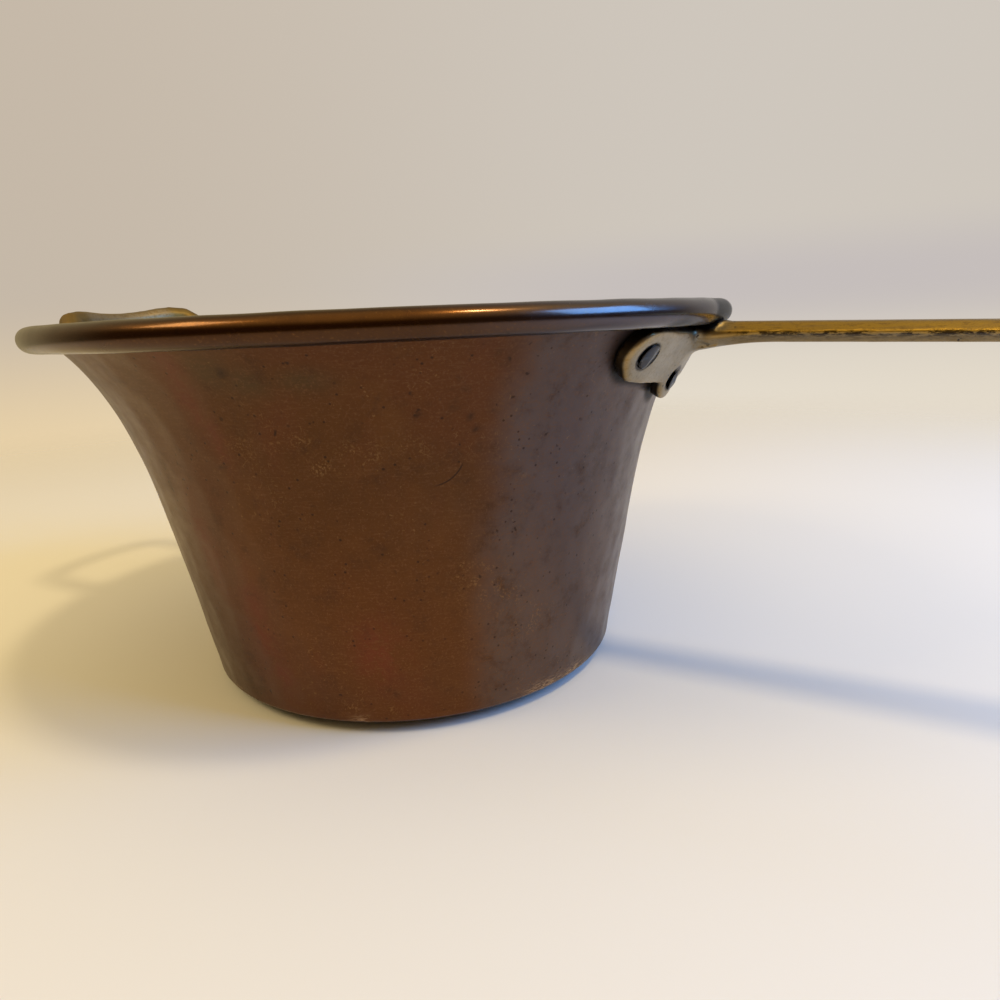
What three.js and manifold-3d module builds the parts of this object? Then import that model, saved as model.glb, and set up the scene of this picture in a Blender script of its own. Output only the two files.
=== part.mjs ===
// A copper polenta pot: a flared bowl with a wired rim, a long riveted handle and a loop handle opposite.
// Millimetres, +Z up. The pot stands on z = 0 with its axis on Z, and the long handle points along +X.
import * as THREE from "three";
import { mergeVertices } from "three/addons/utils/BufferGeometryUtils.js";
import Module from "manifold-3d";

const wasm = await Module();
wasm.setup();

// Bowl, beaten from one sheet of copper
const rimDiameter = 240; // outside of the rolled rim
const rimHeight = 128; // floor to the top of the rolled rim
const baseDiameter = 153.6; // where the straight lower wall would meet the floor
const baseFlatDiameter = 70; // flat middle of the base, on which the pot stands
const baseSag = 4; // how far the flat middle lies below the edge of the base
const wallLean = 9.8; // degrees that the straight lower wall leans outward
const lipAngle = 46; // degrees from upright at which the flared wall runs into the rolled rim
const sheetThickness = 1.5;
const baseCornerRadius = 1.5; // inside radius between base and wall
const rimWireDiameter = 4;
const curlGap = 0.6; // slit between the rolled edge and the wall

// Long handle, a brass casting
const handleReach = 310; // axis of the pot to the end of the handle
const barRootWidth = 15;
const barEndWidth = 24;
const barRootThickness = 6;
const barEndThickness = 5;
const barBevel = 4; // how far the slanted edges reach in from the ridge
const barRidge = 0.5; // upright land along the middle of each edge
const barDroop = 1.5; // degrees that the bar falls away from the rim
const barLetIn = 0.5; // how far the top of the bar is let into the underside of the rolled rim
const eyeDiameter = 11; // hanging eye near the end of the bar
const neckLean = 30; // degrees from upright of the neck's sloping underside
const neckSideFillet = 7; // in plan, where the bar spreads into its foot
const neckUnderFillet = 14; // below the bar, where it turns down towards its foot

// Three-lobed foot of the long handle
const footThickness = 4;
const footLobeRadius = 8.8;
const footLowerLobeRadius = 7.2;
const footNotchFillet = 4;
const footRivetSpacing = 56; // between the two upper rivets
const upperRivetDrop = 14; // top of the rim to the upper rivets
const footRivetFall = 8.8; // upper rivets to the lower one

// Loop handle, a brass casting
const loopBarDiameter = 10.6;
const loopGripDiameter = 9.4; // middle of the grip, between its thicker knuckles
const loopKnuckleTaper = 10; // length over which a knuckle slims down to the grip
const loopWidth = 64; // between the middles of its two arms
const loopReach = 37.5; // rim to the middle of the grip
const loopShoulder = 30; // rim to the two knuckles
const loopRise = 2.6; // top of the rim to the middle of the bar at its knuckles
const loopSag = 0.5; // how far the grip dips between the knuckles
const loopSkew = 1; // how far the right knuckle is set up and the left one down
const loopRimGap = 2; // between the rolled rim and the arms
const loopFootDrop = 20; // top of the rim to the middle of each foot
const loopFootLobeRadius = 7.6;
const loopRivetSpacing = 23; // between the two rivets of one foot

// Rivets
const rivetShankDiameter = 5;
const rivetHeadDiameter = 8;
const rivetHeadHeight = 1.6;
const rivetInnerHeadHeight = 1.3;
const rivetInnerSeatGap = 0.45; // flat inner head to the curved inside of the bowl

// Fit between neighbouring pieces
const clearance = 0.3;

// Fineness of the round forms
const ringSteps = 60; // round the pot
const wallSteps = 9;
const wallCrowding = 1.5; // draws the steps up the wall together towards the flare
const curlSteps = 10;
const cornerSteps = 3;
const wireSides = 8;
const domeSteps = 4; // up a rivet's head
const smallRingSteps = 16; // round a rivet or a lobe
const loopSteps = 32;
const loopSides = 12; // of the loop's bar

const copper = new THREE.MeshStandardMaterial({ color: 0x6a3d24, roughness: 0.36, metalness: 0.95 });
const brass = new THREE.MeshStandardMaterial({ color: 0x9a7c48, roughness: 0.42, metalness: 0.9 });
const rivetCopper = new THREE.MeshStandardMaterial({ color: 0x5c4a42, roughness: 0.45, metalness: 0.85 });
const iron = new THREE.MeshStandardMaterial({ color: 0x4b4a4a, roughness: 0.6, metalness: 0.8 });

// Rolled rim, and the wall's outline from it: a straight lean plus a flare that grows with a power of the
// height, so that the wall runs into the roll at the lip angle.
const rollRadius = rimWireDiameter / 2 + clearance + sheetThickness;
const curlRadius = rollRadius - sheetThickness;
const rollCentre = new THREE.Vector2(rimDiameter / 2 - rollRadius, rimHeight - rollRadius);
const lip = THREE.MathUtils.degToRad(lipAngle);
const lean = THREE.MathUtils.degToRad(wallLean);
const wallTop = new THREE.Vector2(
  rollCentre.x - curlRadius * Math.cos(lip),
  rollCentre.y + curlRadius * Math.sin(lip),
);
const flare = wallTop.x - baseDiameter / 2 - Math.tan(lean) * wallTop.y;
const flarePower = ((Math.tan(lip) - Math.tan(lean)) * wallTop.y) / flare;
const outerCornerRadius = baseCornerRadius + sheetThickness;
const wallBottom = baseSag + outerCornerRadius * (1 - Math.sin(lean));

function wallRadius(height) {
  const share = height / wallTop.y;
  return baseDiameter / 2 + Math.tan(lean) * height + flare * share ** flarePower;
}

function wallTilt(height) {
  const share = height / wallTop.y;
  const flareSlope = ((flare * flarePower) / wallTop.y) * share ** (flarePower - 1);
  return Math.atan(Math.tan(lean) + flareSlope);
}

// Points up the wall in its (radius, height) section, moved out along the wall's normal.
function wallLine(offset, from, to) {
  const points = [];
  for (let step = 0; step <= wallSteps; step += 1) {
    const share = 1 - (1 - step / wallSteps) ** wallCrowding;
    const height = THREE.MathUtils.lerp(from, to, share);
    const tilt = wallTilt(height);
    const radius = wallRadius(height) + offset * Math.cos(tilt);
    points.push(new THREE.Vector2(radius, height - offset * Math.sin(tilt)));
  }
  return points;
}

function arcPoints(centre, radius, from, to, steps) {
  const points = [];
  for (let step = 0; step <= steps; step += 1) {
    const angle = THREE.MathUtils.lerp(from, to, step / steps);
    const x = centre.x + radius * Math.cos(angle);
    points.push(new THREE.Vector2(x, centre.y + radius * Math.sin(angle)));
  }
  return points;
}

// Frame on the outside of the wall: local x along the rim, y up the wall and z straight out of it.
function wallFrame(azimuth, height) {
  const tilt = wallTilt(height);
  const along = new THREE.Vector3(0, 1, 0);
  const upward = new THREE.Vector3(Math.sin(tilt), 0, Math.cos(tilt));
  const outward = new THREE.Vector3(Math.cos(tilt), 0, -Math.sin(tilt));
  return new THREE.Matrix4()
    .makeBasis(along, upward, outward)
    .setPosition(wallRadius(height), 0, height)
    .premultiply(new THREE.Matrix4().makeRotationZ(azimuth));
}

// Where one frame's origin lies in another frame, seen straight along that frame's z.
function seenFrom(frame, other) {
  const point = new THREE.Vector3().setFromMatrixPosition(other);
  point.applyMatrix4(frame.clone().invert());
  return new THREE.Vector2(point.x, point.y);
}

// Closed geometry to solid, without the triangles that shrink to a line on a lathe's axis.
function solid(geometry) {
  const plain = geometry.clone();
  plain.deleteAttribute("normal");
  plain.deleteAttribute("uv");
  const merged = mergeVertices(plain, 1e-4);
  const corners = merged.index.array;
  const triVerts = [];
  for (let i = 0; i < corners.length; i += 3) {
    const [a, b, c] = corners.slice(i, i + 3);
    if (a !== b && b !== c && c !== a) triVerts.push(a, b, c);
  }
  const vertProperties = Float32Array.from(merged.attributes.position.array);
  const mesh = new wasm.Mesh({ numProp: 3, vertProperties, triVerts: Uint32Array.from(triVerts) });
  return new wasm.Manifold(mesh);
}

function piece(name, body, material) {
  const made = body.getMesh();
  const geometry = new THREE.BufferGeometry();
  geometry.setAttribute("position", new THREE.BufferAttribute(made.vertProperties, 3));
  geometry.setIndex(new THREE.BufferAttribute(made.triVerts, 1));
  geometry.computeVertexNormals();
  const mesh = new THREE.Mesh(geometry, material);
  mesh.name = name;
  return mesh;
}

// A section turned about the Z axis.
function turned(points, steps) {
  return new THREE.LatheGeometry(points, steps).rotateX(Math.PI / 2);
}

// A round bar along a frame's z, between two heights over the wall.
function plug(radius, from, to, frame) {
  return solid(
    new THREE.CylinderGeometry(radius, radius, to - from, smallRingSteps)
      .rotateX(Math.PI / 2)
      .translate(0, 0, (from + to) / 2)
      .applyMatrix4(frame),
  );
}

// Rivets: where each one sits, and how far its foot's seat lies over the wall.
const footSeat = clearance + footThickness;
const upperRivetHeight = rimHeight - upperRivetDrop;
const lowerRivetHeight = upperRivetHeight - footRivetFall;
const loopFootHeight = rimHeight - loopFootDrop;
const opposite = Math.PI;
const upperRivetAngle = Math.asin(footRivetSpacing / 2 / wallRadius(upperRivetHeight));
const loopArmAngle = Math.asin(loopWidth / 2 / wallRadius(loopFootHeight));
const loopRivetAngle = Math.asin(loopRivetSpacing / 2 / wallRadius(loopFootHeight));

const handleRivets = {
  long_handle_rivet_left: wallFrame(-upperRivetAngle, upperRivetHeight),
  long_handle_rivet_right: wallFrame(upperRivetAngle, upperRivetHeight),
  long_handle_rivet_lower: wallFrame(0, lowerRivetHeight),
};
const loopRivets = {
  helper_rivet_left_outer: wallFrame(opposite - loopArmAngle - loopRivetAngle, loopFootHeight),
  helper_rivet_left_inner: wallFrame(opposite - loopArmAngle + loopRivetAngle, loopFootHeight),
  helper_rivet_right_inner: wallFrame(opposite + loopArmAngle - loopRivetAngle, loopFootHeight),
  helper_rivet_right_outer: wallFrame(opposite + loopArmAngle + loopRivetAngle, loopFootHeight),
};

// Low dome outside, shank through foot and wall, flattened head inside.
function rivet() {
  const headRadius = rivetHeadDiameter / 2;
  const shankRadius = rivetShankDiameter / 2;
  const innerSeat = -sheetThickness - rivetInnerSeatGap;
  const innerEnd = innerSeat - rivetInnerHeadHeight;
  const outerSeat = footSeat + clearance;
  const domeRadius = (headRadius ** 2 + rivetHeadHeight ** 2) / (2 * rivetHeadHeight);
  const domeCentre = new THREE.Vector2(0, outerSeat + rivetHeadHeight - domeRadius);
  const domeEdge = Math.asin((outerSeat - domeCentre.y) / domeRadius);
  const points = [
    new THREE.Vector2(0, innerEnd),
    new THREE.Vector2(headRadius - rivetInnerHeadHeight / 2, innerEnd),
    new THREE.Vector2(headRadius, innerEnd + rivetInnerHeadHeight / 2),
    new THREE.Vector2(headRadius, innerSeat),
    new THREE.Vector2(shankRadius, innerSeat),
    new THREE.Vector2(shankRadius, outerSeat),
    ...arcPoints(domeCentre, domeRadius, domeEdge, Math.PI / 2, domeSteps),
  ];
  points[points.length - 1].x = 0;
  return solid(turned(points, smallRingSteps));
}

// Bowl: base, wall and rolled rim are one section, and the rivet holes are cut square to the wall. The base
// rises straight from its flat middle to the rounded corner.
function bowl() {
  const cornerCentre = new THREE.Vector2(
    wallRadius(wallBottom) - outerCornerRadius * Math.cos(lean),
    baseSag + outerCornerRadius,
  );
  const flatEdge = new THREE.Vector2(baseFlatDiameter / 2, 0);
  const toCorner = cornerCentre.clone().sub(flatEdge);
  const baseRise = toCorner.angle() - Math.asin(outerCornerRadius / toCorner.length());
  const floorSide = baseRise - Math.PI / 2;
  const innerFlatRadius = flatEdge.x - sheetThickness * Math.tan(baseRise / 2);
  const rollStart = Math.PI - lip;
  const rollEnd = -Math.acos((curlGap - curlRadius) / rollRadius) - lip;
  const outside = wallLine(0, wallBottom, wallTop.y);
  const inside = wallLine(-sheetThickness, wallBottom, wallTop.y).reverse();
  const section = [
    new THREE.Vector2(0, 0),
    flatEdge,
    ...arcPoints(cornerCentre, outerCornerRadius, floorSide, -lean, cornerSteps).slice(0, -1),
    ...outside.slice(0, -1),
    ...arcPoints(rollCentre, curlRadius, rollStart, rollEnd, curlSteps),
    ...arcPoints(rollCentre, rollRadius, rollEnd, rollStart, curlSteps),
    ...inside.slice(1),
    ...arcPoints(cornerCentre, baseCornerRadius, -lean, floorSide, cornerSteps).slice(1),
    new THREE.Vector2(innerFlatRadius, sheetThickness),
    new THREE.Vector2(0, sheetThickness),
  ];
  let body = solid(turned(section, ringSteps));
  const holeRadius = rivetShankDiameter / 2 + clearance;
  for (const frame of [...Object.values(handleRivets), ...Object.values(loopRivets)]) {
    body = body.subtract(plug(holeRadius, -2 * sheetThickness, sheetThickness, frame));
  }
  return body;
}

function rimWire() {
  const wire = arcPoints(rollCentre, rimWireDiameter / 2, 0, 2 * Math.PI, wireSides);
  wire[wire.length - 1].copy(wire[0]);
  return solid(turned(wire, ringSteps));
}

// The space that the handles stay out of: the bowl to just over its wall, and its rolled rim.
function bowlSpace() {
  const section = [
    new THREE.Vector2(0, wallBottom),
    ...wallLine(clearance, wallBottom, wallTop.y),
    new THREE.Vector2(0, wallTop.y - clearance * Math.sin(lip)),
  ];
  const roll = arcPoints(rollCentre, rollRadius + clearance, 0, 2 * Math.PI, curlSteps);
  roll[roll.length - 1].copy(roll[0]);
  return solid(turned(section, ringSteps)).add(solid(turned(roll, ringSteps)));
}

// A sheet of even thickness that follows the wall, for the feet of the handles.
function footSkin() {
  const section = [
    ...wallLine(footSeat, wallBottom, wallTop.y),
    ...wallLine(0, wallBottom, wallTop.y).reverse(),
  ];
  section.push(section[0].clone());
  return solid(turned(section, ringSteps));
}

// An outline made solid, with its depth shared out to both sides.
function block(outline, depth) {
  const options = { depth, bevelEnabled: false, curveSegments: smallRingSteps / 2 };
  return new THREE.ExtrudeGeometry(outline, options).translate(0, 0, -depth / 2);
}

// A foot is cut from the skin by its outline, which is pushed out along the wall's normal.
function foot(outline, frame) {
  return footSkin().intersect(solid(block(outline, rimDiameter / 2).applyMatrix4(frame)));
}

// Two round lobes on a straight band.
function bandOutline(lobe, radius) {
  const outline = new THREE.Shape();
  outline.absarc(lobe.x, lobe.y, radius, -Math.PI / 2, Math.PI / 2);
  outline.absarc(-lobe.x, lobe.y, radius, Math.PI / 2, (3 * Math.PI) / 2);
  outline.closePath();
  return outline;
}

// The band with a third lobe below its middle, and a small fillet in each notch between them.
function trefoilOutline(lobe, radius, lowerLobe, lowerRadius, fillet) {
  const bandEdge = lobe.y - radius;
  const filletCentre = new THREE.Vector2(0, bandEdge - fillet);
  const drop = filletCentre.y - lowerLobe.y;
  filletCentre.x = Math.sqrt((lowerRadius + fillet) ** 2 - drop ** 2);
  const meet = Math.atan2(drop, filletCentre.x);
  const outline = new THREE.Shape();
  outline.absarc(lobe.x, lobe.y, radius, Math.PI / 2, -Math.PI / 2, true);
  outline.absarc(filletCentre.x, filletCentre.y, fillet, Math.PI / 2, Math.PI + meet);
  outline.absarc(0, lowerLobe.y, lowerRadius, meet, -Math.PI - meet, true);
  outline.absarc(-filletCentre.x, filletCentre.y, fillet, -meet, Math.PI / 2);
  outline.absarc(-lobe.x, lobe.y, radius, -Math.PI / 2, (-3 * Math.PI) / 2, true);
  outline.closePath();
  return outline;
}

// Holes for the shanks and flat seats for the domed heads.
function cutRivets(body, frames) {
  const holeRadius = rivetShankDiameter / 2 + clearance;
  const seatRadius = rivetHeadDiameter / 2 + clearance;
  let cut = body;
  for (const frame of frames) {
    cut = cut.subtract(plug(holeRadius, -footSeat, 2 * footSeat, frame));
    cut = cut.subtract(plug(seatRadius, footSeat, footSeat + rivetHeadDiameter, frame));
  }
  return cut;
}

// Bar of the long handle: a flat outline with both edges bevelled to a ridge, thinning to its end. Its frame
// starts under the rim, x along the bar.
const barHeight = rollCentre.y - rollRadius + barLetIn - barRootThickness / 2;
const barLength = handleReach - rimDiameter / 2;
const barInside = rimDiameter / 2 - wallRadius(lowerRivetHeight);

function bar() {
  const eyeX = barLength - barEndWidth / 2;
  const plan = new THREE.Shape();
  plan.moveTo(-barInside, barRootWidth / 2);
  plan.lineTo(-barInside, -barRootWidth / 2);
  plan.lineTo(0, -barRootWidth / 2);
  plan.absarc(eyeX, 0, barEndWidth / 2, -Math.PI / 2, Math.PI / 2);
  plan.lineTo(0, barRootWidth / 2);
  plan.closePath();
  const geometry = new THREE.ExtrudeGeometry(plan, {
    depth: barRidge,
    bevelThickness: (barRootThickness - barRidge) / 2,
    bevelSize: barBevel,
    bevelOffset: -barBevel,
    bevelSegments: 1,
    curveSegments: smallRingSteps,
  });
  geometry.translate(0, 0, -barRidge / 2);
  const position = geometry.attributes.position;
  for (let i = 0; i < position.count; i += 1) {
    const share = Math.max(position.getX(i), 0) / barLength;
    const thinning = THREE.MathUtils.lerp(1, barEndThickness / barRootThickness, share);
    position.setZ(i, position.getZ(i) * thinning);
  }
  const eye = new THREE.CylinderGeometry(
    eyeDiameter / 2,
    eyeDiameter / 2,
    2 * barRootThickness,
    2 * smallRingSteps,
  );
  eye.rotateX(Math.PI / 2).translate(eyeX, 0, 0);
  return solid(geometry).subtract(solid(eye));
}

// Neck: what both a plan with flared sides and a side view with a sloping underside allow. The slope starts
// on the foot, level with the lower rivet.
function neck() {
  const tilt = wallTilt(lowerRivetHeight);
  const slope = THREE.MathUtils.degToRad(neckLean);
  const rim = rimDiameter / 2;
  const start = new THREE.Vector2(
    wallRadius(lowerRivetHeight) + footSeat * Math.cos(tilt) - rim,
    lowerRivetHeight - footSeat * Math.sin(tilt) - barHeight,
  );
  const top = barRootThickness / 2;
  const filletCentre = new THREE.Vector2(0, -top - neckUnderFillet);
  const climb = (filletCentre.y - start.y) * Math.sin(slope);
  filletCentre.x = start.x + (neckUnderFillet + climb) / Math.cos(slope);

  const side = new THREE.Shape();
  side.moveTo(-barInside, top);
  side.lineTo(-barInside, start.y);
  side.lineTo(start.x, start.y);
  side.absarc(filletCentre.x, filletCentre.y, neckUnderFillet, Math.PI - slope, Math.PI / 2, true);
  side.lineTo(filletCentre.x, top);
  side.closePath();

  const plan = new THREE.Shape();
  const half = barRootWidth / 2 - barBevel / 2;
  const spread = half + neckSideFillet;
  plan.moveTo(-barInside, -spread);
  plan.absarc(start.x + neckSideFillet, -spread, neckSideFillet, Math.PI, Math.PI / 2, true);
  plan.lineTo(filletCentre.x, -half);
  plan.lineTo(filletCentre.x, half);
  plan.absarc(start.x + neckSideFillet, spread, neckSideFillet, -Math.PI / 2, -Math.PI, true);
  plan.lineTo(-barInside, spread);
  plan.closePath();

  const sideBlock = block(side, 2 * spread).rotateX(Math.PI / 2);
  const planBlock = block(plan, 2 * (top - start.y));
  return solid(planBlock).intersect(solid(sideBlock));
}

function longHandle() {
  const frame = wallFrame(0, upperRivetHeight);
  const lobe = seenFrom(frame, handleRivets.long_handle_rivet_right);
  const lowerLobe = seenFrom(frame, handleRivets.long_handle_rivet_lower);
  const outline = trefoilOutline(
    lobe,
    footLobeRadius,
    lowerLobe,
    footLowerLobeRadius,
    footNotchFillet,
  );
  const barFrame = new THREE.Matrix4()
    .makeRotationY(THREE.MathUtils.degToRad(barDroop))
    .setPosition(rimDiameter / 2, 0, barHeight);
  const body = bar()
    .add(neck())
    .transform(barFrame.elements)
    .add(foot(outline, frame))
    .subtract(bowlSpace());
  return cutRivets(body, Object.values(handleRivets));
}

// Loop handle: a round bar that leaves one foot, passes under and round the rim, bends over a knuckle into
// the grip and comes back the same way to the other foot.
function loopPath() {
  const rim = rimDiameter / 2;
  const barRadius = loopBarDiameter / 2;
  const knuckleHeight = rimHeight + loopRise;
  const armStart = wallRadius(loopFootHeight) * Math.cos(loopArmAngle);
  const armPoints = (side) => {
    const arm = (side * loopWidth) / 2;
    const knuckle = knuckleHeight - side * loopSkew;
    return [
      new THREE.Vector3(armStart - barRadius, arm, loopFootHeight),
      new THREE.Vector3((armStart + rim) / 2, arm, loopFootHeight),
      new THREE.Vector3(rim + loopRimGap + barRadius, arm, (loopFootHeight + knuckle - barRadius) / 2),
      new THREE.Vector3(rim + loopShoulder - barRadius - loopRimGap, arm, knuckle - barRadius),
      new THREE.Vector3(rim + loopShoulder, arm - (side * barRadius) / 2, knuckle),
    ];
  };
  const middle = new THREE.Vector3(rim + loopReach, 0, knuckleHeight - loopSag);
  return new THREE.CatmullRomCurve3([...armPoints(1), middle, ...armPoints(-1).reverse()]);
}

// Draws the bar in towards its middle line from the knuckles to the slimmer grip.
function slimGrip(geometry, path) {
  const line = path.getSpacedPoints(loopSteps ** 2);
  const halfGrip = loopWidth / 2 - loopBarDiameter;
  const position = geometry.attributes.position;
  for (let i = 0; i < position.count; i += 1) {
    const across = position.getY(i);
    const slimness = THREE.MathUtils.smoothstep(halfGrip - Math.abs(across), 0, loopKnuckleTaper);
    const size = THREE.MathUtils.lerp(1, loopGripDiameter / loopBarDiameter, slimness);
    const distance = (point) => Math.abs(point.y - across);
    const middle = line.reduce((best, point) => (distance(point) < distance(best) ? point : best));
    position.setX(i, THREE.MathUtils.lerp(middle.x, position.getX(i), size));
    position.setZ(i, THREE.MathUtils.lerp(middle.z, position.getZ(i), size));
  }
}

function loopHandle() {
  const section = new THREE.Shape();
  section.absarc(0, 0, loopBarDiameter / 2, 0, 2 * Math.PI);
  const path = loopPath();
  const grip = new THREE.ExtrudeGeometry(section, {
    steps: loopSteps,
    curveSegments: loopSides / 2,
    extrudePath: path,
  });
  slimGrip(grip, path);
  let body = solid(grip.rotateZ(opposite));
  const loopFoot = bandOutline(new THREE.Vector2(loopRivetSpacing / 2, 0), loopFootLobeRadius);
  for (const azimuth of [opposite - loopArmAngle, opposite + loopArmAngle]) {
    body = body.add(foot(loopFoot, wallFrame(azimuth, loopFootHeight)));
  }
  return cutRivets(body.subtract(bowlSpace()), Object.values(loopRivets));
}

const pot = new THREE.Group();
pot.add(piece("bowl", bowl(), copper));
pot.add(piece("rim_wire", rimWire(), iron));
pot.add(piece("long_handle", longHandle(), brass));
pot.add(piece("helper_handle", loopHandle(), brass));
for (const [name, frame] of Object.entries({ ...handleRivets, ...loopRivets })) {
  const placed = piece(name, rivet(), rivetCopper);
  placed.applyMatrix4(frame);
  pot.add(placed);
}

export default pot;
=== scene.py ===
"""Looks of a copper polenta pot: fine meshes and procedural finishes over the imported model.
Metres, +Z up along the axis of the bowl, +X along the long handle."""
import math

import bpy
import numpy as np
from mathutils import Matrix, Vector
from mathutils.bvhtree import BVHTree


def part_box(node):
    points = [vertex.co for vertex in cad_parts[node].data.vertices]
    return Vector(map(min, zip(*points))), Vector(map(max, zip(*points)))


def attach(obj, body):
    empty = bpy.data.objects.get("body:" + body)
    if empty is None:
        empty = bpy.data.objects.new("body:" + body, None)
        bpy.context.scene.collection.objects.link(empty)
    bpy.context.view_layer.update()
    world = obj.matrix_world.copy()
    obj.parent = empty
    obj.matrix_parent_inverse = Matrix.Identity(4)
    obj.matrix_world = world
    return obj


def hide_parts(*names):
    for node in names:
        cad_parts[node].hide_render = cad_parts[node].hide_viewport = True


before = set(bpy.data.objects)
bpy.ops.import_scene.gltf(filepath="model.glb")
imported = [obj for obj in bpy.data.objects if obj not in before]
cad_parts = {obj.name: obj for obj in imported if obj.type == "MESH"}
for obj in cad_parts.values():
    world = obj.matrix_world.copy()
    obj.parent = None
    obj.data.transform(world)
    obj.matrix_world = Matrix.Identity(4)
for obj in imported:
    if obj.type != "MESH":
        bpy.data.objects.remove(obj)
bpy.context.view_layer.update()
MM = 0.001

# Bowl: the section of its solid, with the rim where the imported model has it
rim_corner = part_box("bowl")[1]
RIM_RADIUS = rim_corner.x
RIM_HEIGHT = rim_corner.z
BASE_RADIUS = 76.8 * MM  # where the straight lower wall would meet the floor
BASE_FLAT = 35 * MM  # radius of the flat middle, on which the pot stands
BASE_SAG = 4 * MM  # flat middle to the edge of the base
WALL_LEAN = math.radians(9.8)
LIP_ANGLE = math.radians(46)
SHEET = 1.5 * MM
BASE_CORNER = 1.6 * MM  # outer radius between base and wall
INNER_CORNER = 5 * MM
ROLL_RADIUS = 3.8 * MM
CURL_GAP = 0.6 * MM

# Rivets
RIVET_RADIUS = 4 * MM
LOWER_RIVET_RADIUS = 3.4 * MM  # worn smaller than the others
RIVET_OVAL = 0.84  # width of a hammered head across the wall, as a share of its height
RIVET_SHANK = 2.5 * MM
RIVET_DOME = 0.7 * MM
RIVET_INNER_HEAD = 1.3 * MM
RIVET_INNER_SEAT = 0.45 * MM  # flat inner head to the curved inside of the wall
RIVET_STEPS = 48
RIVET_BLOWS = 5  # hammer blows that flatten a head
BLOW_SLOPE = (0.05, 0.3)
BLOW_HEIGHT = (0.86, 0.98)  # of the dome
BLOW_OFFSET = 0.5 * MM
FOOT_SEAT = 4.3 * MM  # outside of the wall to the outside of a foot
CLEARANCE = 0.3 * MM
UPPER_RIVET_HEIGHT = 114 * MM
LOWER_RIVET_HEIGHT = 105.2 * MM
UPPER_RIVET_SPACING = 56 * MM
LOOP_FOOT_HEIGHT = 108 * MM
LOOP_WIDTH = 64 * MM
LOOP_RIVET_SPACING = 23 * MM

# Long handle
BAR_RIDGE_HEIGHT = 117.9 * MM  # ridge along the bar's edges, at the rim
BAR_RIDGE_REACH = 1 * MM
SEAM_START = 8 * MM  # past the rim
BAR_DROOP = math.radians(1.5)
FOOT_LIFT = 1.1 * MM  # up the wall
FOOT_SPREAD = 1.7 * MM  # round the wall, each half of the foot its own way
FOOT_EDGE_SPREAD = 0.8 * MM  # added beyond the upper rivets
FOOT_SIDES = (0.07, 0.2)  # radians from the middle, over which the spread comes in
FOOT_EDGES = (0.25, 0.3)
FOOT_MOVED = (9 * MM, 4.8 * MM)  # off the wall: still from the first on, fully moved within the second
FOOT_ROUNDING = 24  # rounds
ROUNDED_FROM = (1 * MM, 2 * MM)  # off the wall, so that the face against the wall stays
ROUNDED_TO = (10 * MM, 7 * MM)
LOBE_SPREAD = 1.6 * MM  # added to each side of the foot's lower lobe
LOBE_SIDES = (0.005, 0.03)
LOBE_TOP = (108 * MM, 104 * MM)
LOWER_RIVET_TURN = 0.012  # radians towards the right rivet
NECK_ROOT = np.array([112, 0, 111]) * MM
NECK_SHAPE = (1, 0.8, 1)  # its filling reaches further sideways
NECK_FILLED = (17 * MM, 7 * MM)  # from the root: untouched from the first on, filled within the second
NECK_BLEND = 200  # rounds
NECK_DROP = 1.3 * MM  # added under the neck
NECK_SIDES = (14 * MM, 8 * MM)
NECK_FULLEST = 116 * MM  # from the pot's axis
NECK_FULL_LENGTH = 9 * MM

# Castings
BEND_ROUNDS = 6  # over which the bend of the surface is evened out
FULL_BEND = 0.05  # bend of a clear edge or hollow, in voxels
GRIP_HALF_WIDTH = (24 * MM, 18 * MM)  # rubbed part of the loop

# Points along the bowl's section
BASE_POINTS = 38
CORNER_POINTS = 7
OUTSIDE_POINTS = 116
CURL_POINTS = 18
BEAD_POINTS = 46
INSIDE_POINTS = 84
INNER_CORNER_POINTS = 9
WALL_CROWDING = 1.2

# Beaten surface
RING_STEPS = 400
MARKS_AROUND = 54
MARK_ROW = 22 * MM
MARK_DEPTH = 0.3 * MM
MARK_SHARPNESS = 14  # of the ridges between marks
MARK_REACH = 0.5  # squared distance at which a mark runs out, counted in marks
MARKS_LOW_FADE = 8 * MM
MARKS_HIGH_FADE = 10 * MM
INSIDE_SHARE = 0.6  # depth of the marks inside, as a share of those outside
FLOOR_MARKS_AROUND = 24
FLOOR_MARK_ROW = 12 * MM
FLOOR_MARK_DEPTH = 0.12 * MM
FLOOR_MARKS_EDGE = (4 * MM, 12 * MM)  # in from the edge of the base
WALL_WAVE = 0.14 * MM
WALL_CRESTS = (2, 7)  # round the pot
BEAD_WAVE = 0.1 * MM
BEAD_CRESTS = (9, 40)

# Dirt and painted shade, as distances at which it ends and at which it is full
BEAD_DIRT_AND_SHADE = (9 * MM, 5 * MM)
WALL_DIRT_AND_SHADE = (3.2 * MM, 0.6 * MM)
RIVET_DIRT = (1 * MM, 0.3 * MM)
# painted shade with some soiling: the handles darken by the wall, blackening the sides of the feet
HANDLE_DIRT_AND_SHADE = 1.4 * MM  # from the wall
FOOT_DIRT_AND_SHADE = 2.3 * MM  # added on the feet
FOOT_DIRT_AND_SHADE_SPAN = (121 * MM, 112 * MM)  # along X, from the middle of the pot
DIRT_AND_SHADE_FADE = 1 * MM
DIRT_AND_SHADE_SEARCH = 5 * MM  # past all of these on a handle

# Painted light on the lower front and painted reflection of the window, by azimuth in degrees
PAINTED_LIGHT_AZIMUTH = -25
PAINTED_LIGHT_TURN = (0.15, 0.5)  # cosines of the turn away from it
PAINTED_LIGHT_HEIGHT = (90 * MM, 20 * MM)
WINDOW_REFLECTION_NEAR_EDGE = (-54, -26)
WINDOW_REFLECTION_FAR_EDGE = (80, 45)
# painted shade on the lower half of the roll fades in over this distance
ROLL_SHADE = 1 * MM  # above and below the middle of the roll

# near-black of painted shade with some soiling, by the handles
GRIME_AND_SHADE_COLOUR = (0.006, 0.004, 0.003)
PIT_COLOUR = (0.022, 0.012, 0.007)

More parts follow.
